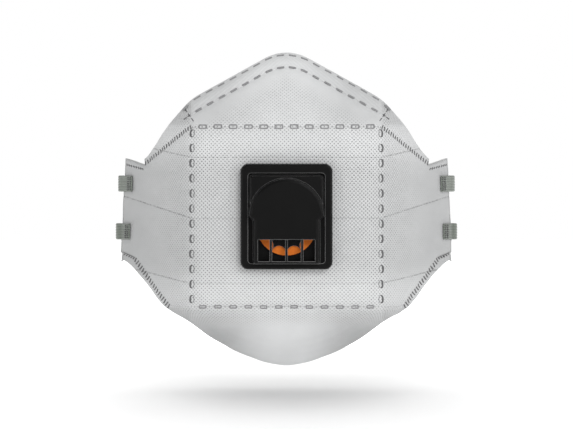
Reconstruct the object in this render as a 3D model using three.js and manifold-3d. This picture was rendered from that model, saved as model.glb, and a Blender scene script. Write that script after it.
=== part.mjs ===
// Disposable dust mask: three fabric panels, a nose clip, two elastic head straps and an
// exhalation valve. Millimetres, +Z up. The front faces -Y and +X is on the right seen from
// the front. The origin is the centre of the face opening, level with the valve's middle.

import * as THREE from 'three';
import { mergeVertices } from 'three/addons/utils/BufferGeometryUtils.js';
import Module from 'manifold-3d';

const wasm = await Module();
wasm.setup();

// ---- Driving dimensions: the shell ----
const FRONT_Y = -52; // outer face of the centre panel
const FLAT_HALF_X = 21; // the centre panel is flat this far out, under the valve
const FLAT_HALF_Z = 24;
const CENTRE_HALF_X = 41.8; // half width of the centre panel between its welded corners
const WING_TURN_X = 43; // where the wings turn back towards the cheeks
const WING_SLOPE = 1.35; // depth gained per millimetre across a wing
const WING_BOW = 0.004; // crown of the shell from side to side
const PANEL_BOW = 0.003; // crown of the shell from top to bottom
const FOLD_Z = 39.5; // height of the upper fold line, and depth of the lower one
const FOLD_SOFTNESS = 4; // how gently the shell turns at its folds
const NOSE_SLOPE = 0.6;
const CHIN_SLOPE = 1.28;
const RIDGE_SLOPE = 0.35; // roof shape of the nose panel
const RIDGE_RADIUS = 8;
const NOSE_HEIGHT = 32; // from the upper fold line to the top edge
const TAB_EDGE_X = 72; // side edge of the cheek tabs, at the origin's height
const TAB_EDGE_LEAN = 0.05; // the side edges spread downwards
const TAB_START_X = 66; // only the tab beyond here leans
const FOLD_GAP = 1; // clearance between panels along the folds and flank seams
const SKIRT_ROWS = 2;
const SKIRT_FULL = 14; // a skirt this deep or deeper turns fully back
const SKIRT_CURL = 0.06; // how far a full skirt draws in towards the face, as a share of its place

// ---- Driving dimensions: fabric layers, as depth under the outer face ----
const COVER = [0, 0.5];
const FILTER = [0.95, 1.75];
const LINER = [2.2, 2.7];
const NOSE_CLIP = [-0.9, -0.3]; // the clip and its pocket lie outside the cover
const CLIP_POCKET = [-1.7, -1.2];
const NOSE_FOAM = [3.5, 7];

// ---- Driving dimensions: straps ----
const STRAP_WIDTH = 7;
const STRAP_THICKNESS = 0.9;
const STRAP_BACK_Y = 5; // the plane behind the tabs in which the straps hang
const UPPER_STRAP_Z = 14;
const LOWER_STRAP_Z = -7;
const STRAP_TWIST_SHARE = 0.24; // share of the strap's length in which it turns flat

// ---- Driving dimensions: exhalation valve ----
const VALVE_WIDTH = 40;
const VALVE_HEIGHT = 46;
const VALVE_MIDDLE_Z = 0.25;
const VALVE_CORNER = 3.4;
const PORT_Z = -3.5; // centre of the round port and of its flap
const FLAP_RADIUS = 13.2;
const FLAP_FACE = [2.7, 3.3]; // heights above the cover fabric, as all valve pairs
const FLAP_PLATE = [3.6, 4.1];
const FLAP_PLATE_RADIUS = 12.9;
const SCALLOPS = 12; // bites round the plate's edge, through which the flap shows
const SCALLOP_RADIUS = 3.2;
const SCALLOP_RING = 12.6; // distance of the bites' centres from the plate's centre
const CLIP_HOOK = [4.7, 5.4];
const SEAT_FLANGE = [0.3, 1.5];
const SEAT_LIP = [1.5, 2.4];
const COVER_BASE = 1.8;
const RIM_HEIGHT = 5;
const RIM_BEVEL = 1;
const COVER_WEB = 2.8; // top of the web that joins the rim and the hood
const SHOULDER_HEIGHT = 7.8; // the hood's square shoulders, beside its arch
const SHOULDER_HALF_WIDTH = 16.2;
const SHOULDER_TOP_Z = 18.3;
const HOOD_HEIGHT = 9.4;
const HOOD_WALL = 1.2;
const HOOD_BEVEL = 1.6;
const HOOD_RADIUS = 16.6;
const HOOD_CENTRE_Z = 0.5;
const HOOD_HALF_WIDTH = 14.6; // below the arch
const WINDOW_TOP_Z = -9.7;
const WINDOW_BOTTOM_Z = -19.2;
const RIB_XS = [-6.8, 0, 6.8];
const RIB_WIDTH = 1.1;
const SEGMENTS = 48;

// ---- Outlines of the panels, seen from the front: height against distance from the middle ----
const BAND_TOP = [[0, FOLD_Z], [CENTRE_HALF_X, FOLD_Z], [62.5, 22.5], [TAB_EDGE_X, 25.2]];
const BAND_BOTTOM = [[0, -FOLD_Z], [51.6, -FOLD_Z], [67, -18.3], [TAB_EDGE_X, -16.2]];
const NOSE_TOP = [[0, 72], [7, 70.6], [42, 51.2], [52, 39.8], [57.5, 31], [62.5, 24.2]];
const CHIN_BOTTOM = [[0, -66], [10, -64.2], [22, -59.6], [33, -53.2], [44, -44.8], [51, -41.6],
  [54.5, -39.2], [66.5, -22.6], [71.5, -19.4]];

// Beyond these outlines the nose and chin panels run back as skirts, to a rim at this Y.
const NOSE_RIM = [[0, -24.3], [24, -26.4], [42, -23], [52, -16.5], [62.5, -9]];
const CHIN_RIM = [[0, -8.5], [44, -9.5], [54, -8], [66.5, -4], [71.5, -1.4]];

// Columns of the panel grids, as distances from the middle.
const BAND_STATIONS = [0, 8, 16, 24, 33, 38, CENTRE_HALF_X, 45, 48.3, 51.6, 54.2, 57, 59.7, 62.5, 67,
  TAB_EDGE_X];
const NOSE_STATIONS = [0, 4, 8, 15, 24, 33, CENTRE_HALF_X, 47, 52, 57.5, 62.5];
const CHIN_STATIONS = [0, 10, 20, 30, 38, 45, 51.6, 54.5, 59, 66.5, 71.5];

// ---- Shell surface ----
const softRamp = (t) => FOLD_SOFTNESS * Math.log(1 + Math.exp(t / FOLD_SOFTNESS));
const beyond = (value, limit) => Math.max(0, Math.abs(value) - limit);

// The outer face of the mask is one height field over its front view.
function shellY(x, z) {
  const across = WING_BOW * beyond(x, FLAT_HALF_X) ** 2
    + WING_SLOPE * softRamp(Math.abs(x) - WING_TURN_X);
  const noseRise = softRamp(z - FOLD_Z);
  const along = PANEL_BOW * beyond(z, FLAT_HALF_Z) ** 2
    + NOSE_SLOPE * noseRise + CHIN_SLOPE * softRamp(-z - FOLD_Z);
  const ridge = RIDGE_SLOPE * (noseRise / NOSE_HEIGHT) * (Math.hypot(x, RIDGE_RADIUS) - RIDGE_RADIUS);
  return FRONT_Y + across + along + ridge;
}

function inwardNormal(x, z) {
  const step = 0.5;
  const slopeX = (shellY(x + step, z) - shellY(x - step, z)) / (2 * step);
  const slopeZ = (shellY(x, z + step) - shellY(x, z - step)) / (2 * step);
  return new THREE.Vector3(-slopeX, 1, -slopeZ).normalize();
}

// A point of the shell, moved by depth along its inward normal.
const shellPoint = (x, z, depth) => new THREE.Vector3(x, shellY(x, z), z)
  .addScaledVector(inwardNormal(x, z), depth);

// Value of an outline at a distance from the middle.
function valueOn(outline, x) {
  const away = Math.abs(x);
  const found = outline.findIndex(([at]) => at >= away);
  const next = found < 0 ? outline.length - 1 : Math.max(1, found);
  const [x0, z0] = outline[next - 1];
  const [x1, z1] = outline[next];
  return z0 + ((z1 - z0) * (away - x0)) / (x1 - x0);
}

const tabEdgeX = (z) => TAB_EDGE_X - TAB_EDGE_LEAN * z;

// ---- Solids ----

// A closed solid through a row of sections. Each section has a row of points on its outer
// face and the matching row on its inner face.
function loft(sections) {
  const count = sections[0].outer.length;
  const ring = 2 * count;
  const positions = sections.flatMap(({ outer, inner }) =>
    [...outer, ...inner.toReversed()].flatMap((point) => point.toArray()));
  const index = [];
  const quad = (a, b, c, d) => index.push(a, b, c, a, c, d);
  for (let i = 0; i < sections.length - 1; i++) {
    for (let k = 0; k < ring; k++) {
      const next = (k + 1) % ring;
      quad(i * ring + k, (i + 1) * ring + k, (i + 1) * ring + next, i * ring + next);
    }
  }
  const last = (sections.length - 1) * ring;
  for (let k = 0; k < count - 1; k++) {
    const far = ring - 1 - k;
    quad(k, k + 1, far - 1, far);
    quad(last + k, last + far, last + far - 1, last + k + 1);
  }
  const geometry = new THREE.BufferGeometry();
  geometry.setAttribute('position', new THREE.Float32BufferAttribute(positions, 3));
  geometry.setIndex(index);
  return geometry;
}

const mirrored = (stations) => [...stations.slice(1).toReversed().map((x) => -x), ...stations];

// The skirt of a panel in one column: rows that run back from the panel's outline.
function skirtRows(panel, x, depth) {
  const { outline, rim } = panel;
  const z = valueOn(outline, x);
  const reach = 2;
  const slope = (valueOn(outline, Math.abs(x) + reach / 2) - valueOn(outline, Math.abs(x) - reach / 2))
    / reach;
  const towardsMiddle = new THREE.Vector3(slope * Math.sign(x), 0, -1).normalize()
    .multiplyScalar(Math.sign(z));
  const length = valueOn(rim, x) - shellY(x, z);
  const fullness = Math.min(1, length / SKIRT_FULL);
  return Array.from({ length: SKIRT_ROWS + 1 }, (_, k) => {
    const back = k / SKIRT_ROWS;
    const drawIn = 1 - SKIRT_CURL * fullness * back * back;
    const turned = fullness * (k === 0 ? 0.5 : 1);
    const normal = inwardNormal(x, z).lerp(towardsMiddle, turned).normalize();
    return new THREE.Vector3(x * drawIn, shellY(x, z) + length * back, z * drawIn)
      .addScaledVector(normal, depth);
  });
}

// One layer of a panel between its bottom and top, lying between two depths. A panel with a
// skirt has it beyond its outline, which is its top or its bottom.
function panelLayer(panel, [outerDepth, innerDepth]) {
  const { stations, rows, bottomAt, topAt, rim } = panel;
  const sections = mirrored(stations).map((station) => {
    const row = (depth) => {
      const flat = Array.from({ length: rows + 1 }, (_, j) => {
        const z = THREE.MathUtils.lerp(bottomAt(station), topAt(station), j / rows);
        const lean = Math.abs(station) > TAB_START_X ? TAB_EDGE_LEAN * z * Math.sign(station) : 0;
        return shellPoint(station - lean, z, depth);
      });
      if (!rim) return flat;
      const back = skirtRows(panel, station, depth);
      return panel.outline === NOSE_TOP
        ? [...flat.slice(0, -1), ...back]
        : [...back.toReversed(), ...flat.slice(1)];
    };
    return { outer: row(outerDepth), inner: row(innerDepth) };
  });
  return loft(sections);
}

// A flat ribbon along a curve. acrossAt gives the direction of its width.
function ribbon(curve, steps, acrossAt) {
  const sections = Array.from({ length: steps + 1 }, (_, i) => {
    const t = i / steps;
    const centre = curve.getPoint(t);
    const tangent = curve.getTangent(t);
    const across = acrossAt(t, tangent);
    const face = new THREE.Vector3().crossVectors(tangent, across).normalize();
    const corner = (side, out) => centre.clone()
      .addScaledVector(across, (side * STRAP_WIDTH) / 2)
      .addScaledVector(face, (out * STRAP_THICKNESS) / 2);
    return { outer: [corner(-1, 1), corner(1, 1)], inner: [corner(-1, -1), corner(1, -1)] };
  });
  return loft(sections);
}

function toSolid(geometry) {
  const bare = geometry.clone();
  bare.deleteAttribute('normal');
  bare.deleteAttribute('uv');
  const merged = mergeVertices(bare);
  return new wasm.Manifold(new wasm.Mesh({
    numProp: 3,
    vertProperties: new Float32Array(merged.attributes.position.array),
    triVerts: new Uint32Array(merged.index.array),
  }));
}

function toGeometry(solid) {
  const { vertProperties, triVerts } = solid.getMesh();
  const geometry = new THREE.BufferGeometry();
  geometry.setAttribute('position', new THREE.BufferAttribute(vertProperties, 3));
  geometry.setIndex(new THREE.BufferAttribute(triVerts, 1));
  return geometry;
}

// A valve plate: an outline in X and Z, thick between two heights above the cover fabric.
function plate(shape, [low, high], options = {}) {
  const settings = { depth: high - low, bevelEnabled: false, curveSegments: 12, ...options };
  const geometry = new THREE.ExtrudeGeometry(shape, settings);
  return toSolid(geometry.rotateX(Math.PI / 2).translate(0, FRONT_Y - low, 0));
}

function block(x, z, heights) {
  const shape = new THREE.Shape();
  shape.moveTo(x[0], z[0]).lineTo(x[1], z[0]).lineTo(x[1], z[1]).lineTo(x[0], z[1]);
  return plate(shape, heights);
}

function disc(radius, [low, high], centreZ = PORT_Z) {
  const geometry = new THREE.CylinderGeometry(radius, radius, high - low, SEGMENTS);
  return toSolid(geometry.translate(0, FRONT_Y - (low + high) / 2, centreZ));
}

function roundedRectangle(left, right, bottom, top, radius) {
  const shape = new THREE.Shape();
  shape.absarc(right - radius, bottom + radius, radius, -Math.PI / 2, 0);
  shape.absarc(right - radius, top - radius, radius, 0, Math.PI / 2);
  shape.absarc(left + radius, top - radius, radius, Math.PI / 2, Math.PI);
  shape.absarc(left + radius, bottom + radius, radius, Math.PI, 1.5 * Math.PI);
  return shape;
}

// ---- Fabric panels ----
const band = {
  stations: BAND_STATIONS,
  rows: 6,
  bottomAt: (x) => valueOn(BAND_BOTTOM, x) + FOLD_GAP / 2,
  topAt: (x) => valueOn(BAND_TOP, x) - FOLD_GAP / 2,
};
const nosePanel = {
  stations: NOSE_STATIONS,
  rows: 6,
  bottomAt: (x) => valueOn(BAND_TOP, x) + FOLD_GAP / 2,
  topAt: (x) => valueOn(NOSE_TOP, x),
  outline: NOSE_TOP,
  rim: NOSE_RIM,
};
const chinPanel = {
  stations: CHIN_STATIONS,
  rows: 6,
  bottomAt: (x) => valueOn(CHIN_BOTTOM, x),
  topAt: (x) => valueOn(BAND_BOTTOM, x) - FOLD_GAP / 2,
  outline: CHIN_BOTTOM,
  rim: CHIN_RIM,
};

// The band has a round hole for the valve's barrel.
const BARREL_RADIUS = 14.2;
const HOLE_RADIUS = 14.8;
function bandLayer(depths) {
  const hole = disc(HOLE_RADIUS, [-6, 6]);
  return toGeometry(toSolid(panelLayer(band, depths)).subtract(hole));
}

// A strip along the nose edge, between two distances below it.
function noseStrip(stations, below, depths) {
  const strip = {
    stations,
    rows: 1,
    bottomAt: (x) => valueOn(NOSE_TOP, x) - below[1],
    topAt: (x) => valueOn(NOSE_TOP, x) - below[0],
  };
  return panelLayer(strip, depths);
}

// ---- Straps ----

// A strap's welded end lies on the front of the tab and turns round its edge to the back.
function strapEnd(side, z) {
  const edge = tabEdgeX(z);
  const onTab = (x) => shellPoint(x, z, -0.3 - STRAP_THICKNESS / 2);
  const behind = (past, y) => new THREE.Vector3(edge + past, y, z);
  const route = [
    onTab(edge - 4), onTab(edge - 2.1), onTab(edge - 0.2), behind(1.7, -2.3), behind(2.3, 0),
    behind(2.2, 2.2), behind(1.5, 4.2), behind(0.2, STRAP_BACK_Y),
  ];
  const curve = new THREE.CatmullRomCurve3(route.map((p) => p.setX(p.x * side)), false, 'centripetal');
  const up = new THREE.Vector3(0, 0, 1);
  return ribbon(curve, 18, () => up);
}

// Half of each strap's hanging route, from its end at the right tab to its lowest point, as
// distance from the middle and height below the tab end.
const UPPER_ROUTE = [
  [71, 0], [68.4, 0.1], [65.6, 0.9], [62.4, 2.9], [58.6, 6.3], [54, 11], [48.6, 16.6], [42.4, 22.6],
  [35.2, 28.6], [27.2, 34], [18.6, 38.2], [9.4, 41], [0, 42],
];
const LOWER_ROUTE = [
  [72, 0], [69.4, 0.1], [66.6, 0.9], [63.4, 2.9], [59.6, 6.3], [55, 11], [49.4, 16.6], [43, 22.4],
  [35.6, 28.2], [27.4, 33.2], [18.6, 37.2], [9.4, 39.8], [0, 40.8],
];

function strap(halfRoute, topZ) {
  const point = ([x, drop], side) => new THREE.Vector3(side * x, STRAP_BACK_Y, topZ - drop);
  const right = halfRoute.map((entry) => point(entry, 1));
  const left = halfRoute.slice(0, -1).toReversed().map((entry) => point(entry, -1));
  const curve = new THREE.CatmullRomCurve3([...right, ...left], false, 'centripetal');
  const backwards = new THREE.Vector3(0, 1, 0);
  const acrossAt = (t, tangent) => {
    const fromEnd = Math.min(t, 1 - t) / STRAP_TWIST_SHARE;
    const turn = THREE.MathUtils.smoothstep(fromEnd, 0, 1) * (Math.PI / 2);
    const upright = new THREE.Vector3().crossVectors(backwards, tangent).normalize();
    return upright.multiplyScalar(Math.cos(turn)).addScaledVector(backwards, Math.sin(turn));
  };
  return ribbon(curve, 48, acrossAt);
}

// ---- Exhalation valve ----
const valveOutline = () => roundedRectangle(
  -VALVE_WIDTH / 2, VALVE_WIDTH / 2,
  VALVE_MIDDLE_Z - VALVE_HEIGHT / 2, VALVE_MIDDLE_Z + VALVE_HEIGHT / 2, VALVE_CORNER);

// Flange on the fabric, sealing lip, crossed bars and a barrel through the fabric.
function valveSeat() {
  const portRadius = 11.8;
  const lipRadius = 13;
  const barHalf = 0.7;
  const barrelBack = -4.2;
  const bars = block([-portRadius, portRadius], [PORT_Z - barHalf, PORT_Z + barHalf], SEAT_FLANGE)
    .add(block([-barHalf, barHalf], [PORT_Z - portRadius, PORT_Z + portRadius], SEAT_FLANGE));
  const flange = plate(valveOutline(), SEAT_FLANGE);
  const lip = disc(lipRadius, [SEAT_FLANGE[0], SEAT_LIP[1]]);
  const barrel = disc(BARREL_RADIUS, [barrelBack, SEAT_FLANGE[1]]);
  const port = disc(portRadius, [barrelBack - 1, SEAT_LIP[1] + 1]);
  return toGeometry(flange.add(lip).add(barrel).subtract(port).add(bars));
}

// Arched outline of the hood: a half circle that steps in below.
function hoodOutline(inset) {
  const radius = HOOD_RADIUS - inset;
  const half = HOOD_HALF_WIDTH - inset;
  const shape = new THREE.Shape();
  shape.moveTo(half, WINDOW_BOTTOM_Z - HOOD_WALL + inset);
  shape.lineTo(half, HOOD_CENTRE_Z - 2);
  shape.absarc(0, HOOD_CENTRE_Z, radius, 0, Math.PI);
  shape.lineTo(-half, HOOD_CENTRE_Z - 2);
  shape.lineTo(-half, WINDOW_BOTTOM_Z - HOOD_WALL + inset);
  return shape;
}

// A moulded body from the cover's base up to a height, with its upper edges chamfered.
function moulded(shape, height, bevel) {
  const body = plate(shape, [bevel, height - bevel], {
    bevelEnabled: true,
    bevelThickness: bevel,
    bevelSize: bevel,
    bevelOffset: -bevel,
    bevelSegments: 2,
  });
  const below = block([-30, 30], [-30, 30], [-5, COVER_BASE]);
  return body.subtract(below);
}

function valveCover() {
  const inside = HOOD_HEIGHT - HOOD_WALL;
  const recess = plate(roundedRectangle(-16.8, 16.8, -20.2, 19.2, 1.4), [COVER_WEB, HOOD_HEIGHT]);
  const rim = moulded(valveOutline(), RIM_HEIGHT, RIM_BEVEL).subtract(recess);
  const shoulders = moulded(
    roundedRectangle(-SHOULDER_HALF_WIDTH, SHOULDER_HALF_WIDTH, HOOD_CENTRE_Z, SHOULDER_TOP_Z, 1.6),
    SHOULDER_HEIGHT, 1.2);
  const hood = moulded(hoodOutline(0), HOOD_HEIGHT, HOOD_BEVEL);
  const cavity = plate(hoodOutline(HOOD_WALL), [0, inside]);
  const window = block([-12.4, 12.4], [WINDOW_BOTTOM_Z, WINDOW_TOP_Z], [inside - 0.2, HOOD_HEIGHT + 1]);
  const ribs = RIB_XS.map((x) => block(
    [x - RIB_WIDTH / 2, x + RIB_WIDTH / 2], [WINDOW_BOTTOM_Z - 0.3, WINDOW_TOP_Z + 0.3],
    [inside, HOOD_HEIGHT - 0.3]));
  const shell = rim.add(shoulders).add(hood).subtract(cavity).subtract(window);
  return toGeometry(ribs.reduce((all, rib) => all.add(rib), shell));
}

const flapTopZ = PORT_Z + FLAP_RADIUS;

// A dark plate on the flap keeps it flat. Scallops round its edge leave the flap's rim bare.
function flapPlate() {
  const pitch = (2 * Math.PI) / SCALLOPS;
  const bites = Array.from({ length: SCALLOPS }, (_, i) => {
    const angle = (i + 0.5) * pitch;
    return disc(SCALLOP_RADIUS, [0, HOOD_HEIGHT])
      .translate([SCALLOP_RING * Math.cos(angle), 0, SCALLOP_RING * Math.sin(angle)]);
  });
  return toGeometry(bites.reduce((rest, bite) => rest.subtract(bite),
    disc(FLAP_PLATE_RADIUS, FLAP_PLATE)));
}

// A hooked bar on the seat holds the flap's top edge.
function flapClip() {
  const bar = block([-6, 6], [flapTopZ + 0.6, flapTopZ + 2.8], [COVER_BASE, CLIP_HOOK[1]]);
  const hook = block([-6, 6], [flapTopZ - 0.8, flapTopZ + 0.7], CLIP_HOOK);
  return toGeometry(bar.add(hook));
}

function backingRing() {
  const heights = [-4.2, -3];
  return toGeometry(disc(19, heights).subtract(disc(BARREL_RADIUS + 0.4, [-5, 0])));
}

// ---- The mask ----
const fabric = (color) => ({ color, roughness: 0.9, metalness: 0 });
const COVER_FABRIC = fabric(0xd4d6d8);
const FILTER_FABRIC = fabric(0xf2f2f0);
const LINER_FABRIC = fabric(0xe9eaec);
const ELASTIC = { color: 0x7c8078, roughness: 0.85, metalness: 0 };
const FOAM = { color: 0x5a5c5e, roughness: 0.95, metalness: 0 };
const ALUMINIUM = { color: 0xb9bbbd, roughness: 0.4, metalness: 1 };
const BLACK_PLASTIC = { color: 0x151515, roughness: 0.45, metalness: 0 };
const ORANGE_SILICONE = { color: 0xc8641a, roughness: 0.5, metalness: 0 };

const mask = new THREE.Group();

function place(name, geometry, look) {
  const mesh = new THREE.Mesh(geometry, new THREE.MeshStandardMaterial(look));
  mesh.name = name;
  mask.add(mesh);
}

place('centre_band_cover', bandLayer(COVER), COVER_FABRIC);
place('centre_band_filter', bandLayer(FILTER), FILTER_FABRIC);
place('centre_band_liner', bandLayer(LINER), LINER_FABRIC);
place('nose_panel_cover', panelLayer(nosePanel, COVER), COVER_FABRIC);
place('nose_panel_filter', panelLayer(nosePanel, FILTER), FILTER_FABRIC);
place('nose_panel_liner', panelLayer(nosePanel, LINER), LINER_FABRIC);
place('chin_panel_cover', panelLayer(chinPanel, COVER), COVER_FABRIC);
place('chin_panel_filter', panelLayer(chinPanel, FILTER), FILTER_FABRIC);
place('chin_panel_liner', panelLayer(chinPanel, LINER), LINER_FABRIC);

place('nose_clip', noseStrip([0, 4, 8, 15, 24, 33, 40], [1.1, 5.3], NOSE_CLIP), ALUMINIUM);
place('nose_clip_pocket', noseStrip([0, 4, 8, 15, 24, 33, 41], [0.2, 6.3], CLIP_POCKET), COVER_FABRIC);
place('nose_foam', noseStrip([0, 4, 8, 15, 24, 33, 38], [4, 13], NOSE_FOAM), FOAM);

for (const [side, sideName] of [[-1, 'left'], [1, 'right']]) {
  place(`upper_strap_end_${sideName}`, strapEnd(side, UPPER_STRAP_Z), ELASTIC);
  place(`lower_strap_end_${sideName}`, strapEnd(side, LOWER_STRAP_Z), ELASTIC);
}
place('upper_strap', strap(UPPER_ROUTE, UPPER_STRAP_Z), ELASTIC);
place('lower_strap', strap(LOWER_ROUTE, LOWER_STRAP_Z), ELASTIC);

place('valve_seat', valveSeat(), BLACK_PLASTIC);
place('valve_cover', valveCover(), BLACK_PLASTIC);
place('valve_flap', toGeometry(disc(FLAP_RADIUS, FLAP_FACE)), ORANGE_SILICONE);
place('valve_flap_plate', flapPlate(), BLACK_PLASTIC);
place('valve_flap_clip', flapClip(), BLACK_PLASTIC);
place('valve_backing_ring', backingRing(), BLACK_PLASTIC);

export default mask;
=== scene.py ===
"""Looks of a disposable dust mask: fabric shell, weld marks, straps, valve, studio."""

import math

import bpy
import numpy as np
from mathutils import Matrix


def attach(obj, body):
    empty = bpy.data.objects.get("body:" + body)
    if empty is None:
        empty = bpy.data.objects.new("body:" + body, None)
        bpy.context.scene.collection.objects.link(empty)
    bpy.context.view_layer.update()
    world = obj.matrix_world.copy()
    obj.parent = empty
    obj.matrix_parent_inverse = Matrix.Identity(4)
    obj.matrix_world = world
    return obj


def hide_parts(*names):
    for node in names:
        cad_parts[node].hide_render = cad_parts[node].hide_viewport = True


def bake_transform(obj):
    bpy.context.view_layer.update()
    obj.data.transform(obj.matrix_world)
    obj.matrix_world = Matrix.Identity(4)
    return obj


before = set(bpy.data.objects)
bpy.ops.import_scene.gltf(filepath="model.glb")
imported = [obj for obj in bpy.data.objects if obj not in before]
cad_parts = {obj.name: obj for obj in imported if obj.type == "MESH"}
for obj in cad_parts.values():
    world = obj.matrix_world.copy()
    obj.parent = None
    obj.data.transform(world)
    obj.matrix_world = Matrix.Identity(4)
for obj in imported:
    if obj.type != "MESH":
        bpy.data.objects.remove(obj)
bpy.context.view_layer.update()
MM = 0.001

# ---- The shell, in millimetres, as the CAD model has it ----
FRONT_Y = -52.0
FLAT_HALF_X = 21.0
FLAT_HALF_Z = 24.0
CENTRE_HALF_X = 41.8
WING_TURN_X = 43.0
WING_SLOPE = 1.35
WING_BOW = 0.004
PANEL_BOW = 0.003
FOLD_Z = 39.5
FOLD_SOFTNESS = 4.0
NOSE_SLOPE = 0.6
CHIN_SLOPE = 1.28
RIDGE_SLOPE = 0.35
RIDGE_RADIUS = 8.0
NOSE_HEIGHT = 32.0
TAB_EDGE_X = 72.0
TAB_EDGE_LEAN = 0.05
TAB_LEAN_START = 60.0
SKIRT_FULL = 14.0
SKIRT_CURL = 0.06
SKIRT_STEP = 0.5  # how fast the height that a material reads runs on down the skirt
BAND_TOP = [(0, FOLD_Z), (CENTRE_HALF_X, FOLD_Z), (62.5, 22.5), (TAB_EDGE_X, 25.2)]
BAND_BOTTOM = [(0, -FOLD_Z), (51.6, -FOLD_Z), (67, -18.3), (TAB_EDGE_X, -16.2)]
NOSE_TOP = [(0, 72), (7, 70.6), (42, 51.2), (52, 39.8), (57.5, 31), (62.5, 23.8)]
CHIN_BOTTOM = [(0, -66), (10, -64.2), (22, -59.6), (33, -53.2), (44, -44.8), (51, -41.6),
               (54.5, -39.2), (66.5, -22.6), (71.5, -18.6)]
NOSE_RIM = [(0, -24.3), (24, -26.4), (42, -23), (52, -16.5), (62.5, -9)]
CHIN_RIM = [(0, -8.5), (44, -9.5), (54, -8), (66.5, -4), (71.5, -1.4)]

# Depth of each fabric layer under the outer face, where the shell is full.
COVER = (0.0, 0.6)
FILTER = (0.65, 1.9)
LINER = (1.95, 2.7)
EDGE_SHARE = 0.4  # share of its thickness that the shell keeps at its pressed edges
EDGE_REACH = 5.0
TUCK = 1.2  # the nose and chin panels run this far under the band along their seams

# Weld lines.
WELD_COLUMN_X = 41.4
WELD_PITCH = 6.65
WELD_COUNT = 12  # marks in each row and each column
COLUMN_TOP_Z = 36.6
COLUMN_PITCH = WELD_PITCH * 0.992
WELD_DEPTH = 0.4
WELD_SPREAD = 1.4
CREASES = ((26.0, 0.21), (-0.5, 0.3), (-29.0, 0.22))  # height at the middle, climb on the wings
NOSE_ROW_DROP = 1.5  # the outer row of nose welds, below the edge
POCKET_DROP = 6.4  # the inner row
UPPER_FLANK = BAND_TOP[1:3]
LOWER_FLANK = BAND_BOTTOM[1:3]
LOWER_HEM = ((67.0, -18.3), (TAB_EDGE_X - 0.4, -16.2))
UPPER_HEM = ((62.4, 20.4), (70.6, 22.4))

# Straps.
STRAP_WIDTH = 7.0
STRAP_THICKNESS = 0.9
STRAP_BACK_Y = 5.0
UPPER_STRAP_Z = 14.0
LOWER_STRAP_Z = -7.0
STRAP_TWIST_SHARE = 0.24
UPPER_ROUTE = [
    (71, 0), (68.4, 0.1), (65.6, 0.9), (62.4, 2.9), (58.6, 6.3), (54, 11), (48.6, 16.6),
    (42.4, 22.6), (35.2, 28.6), (27.2, 34), (18.6, 38.2), (9.4, 41), (0, 42),
]
LOWER_ROUTE = [
    (72, 0), (69.4, 0.1), (66.6, 0.9), (63.4, 2.9), (59.6, 6.3), (55, 11), (49.4, 16.6),
    (43, 22.4), (35.6, 28.2), (27.4, 33.2), (18.6, 37.2), (9.4, 39.8), (0, 40.8),
]

# The hole in the fabric for the valve's barrel.
PORT_Z = -3.5
HOLE_RADIUS = 14.8


# ---- Camera ----
def make_camera():
    """A long lens straight in front, a little above the valve's height."""
    frame_width = 249.5  # millimetres across the picture at the valve
    distance = 5000.0
    elevation = math.radians(0.8)
    data = bpy.data.cameras.new("camera")
    data.sensor_width = 36.0
    data.lens = 36.0 * distance / frame_width
    data.clip_end = 20.0
    camera = bpy.data.objects.new("camera", data)
    bpy.context.scene.collection.objects.link(camera)
    target_z = 1.1
    y = FRONT_Y - distance * math.cos(elevation)
    z = target_z + distance * math.sin(elevation)
    camera.location = (0, y * MM, z * MM)
    camera.rotation_euler = (math.pi / 2 - elevation, 0, 0)
    bpy.context.scene.camera = camera


make_camera()


# ---- Helpers ----
def smoothstep(value, low, high):
    t = np.clip((np.asarray(value, float) - low) / (high - low), 0, 1)
    return t * t * (3 - 2 * t)


def unit(vectors):
    return vectors / np.maximum(np.linalg.norm(vectors, axis=-1, keepdims=True), 1e-12)


def new_piece(name, points, faces, material, smooth=True):
    """A mesh object from points in millimetres."""
    mesh = bpy.data.meshes.new(name)
    mesh.from_pydata((np.asarray(points, float) * MM).tolist(), [], [list(map(int, f)) for f in faces])
    mesh.polygons.foreach_set("use_smooth", [smooth] * len(mesh.polygons))
    mesh.materials.append(material)
    mesh.update()
    piece = bpy.data.objects.new(name, mesh)
    bpy.context.scene.collection.objects.link(piece)
    return piece


def add_attribute(piece, name, vectors):
    """A vector for each point, for a material to read."""
    attribute = piece.data.attributes.new(name, "FLOAT_VECTOR", "POINT")
    attribute.data.foreach_set("vector", np.asarray(vectors, np.float32).ravel())


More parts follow.
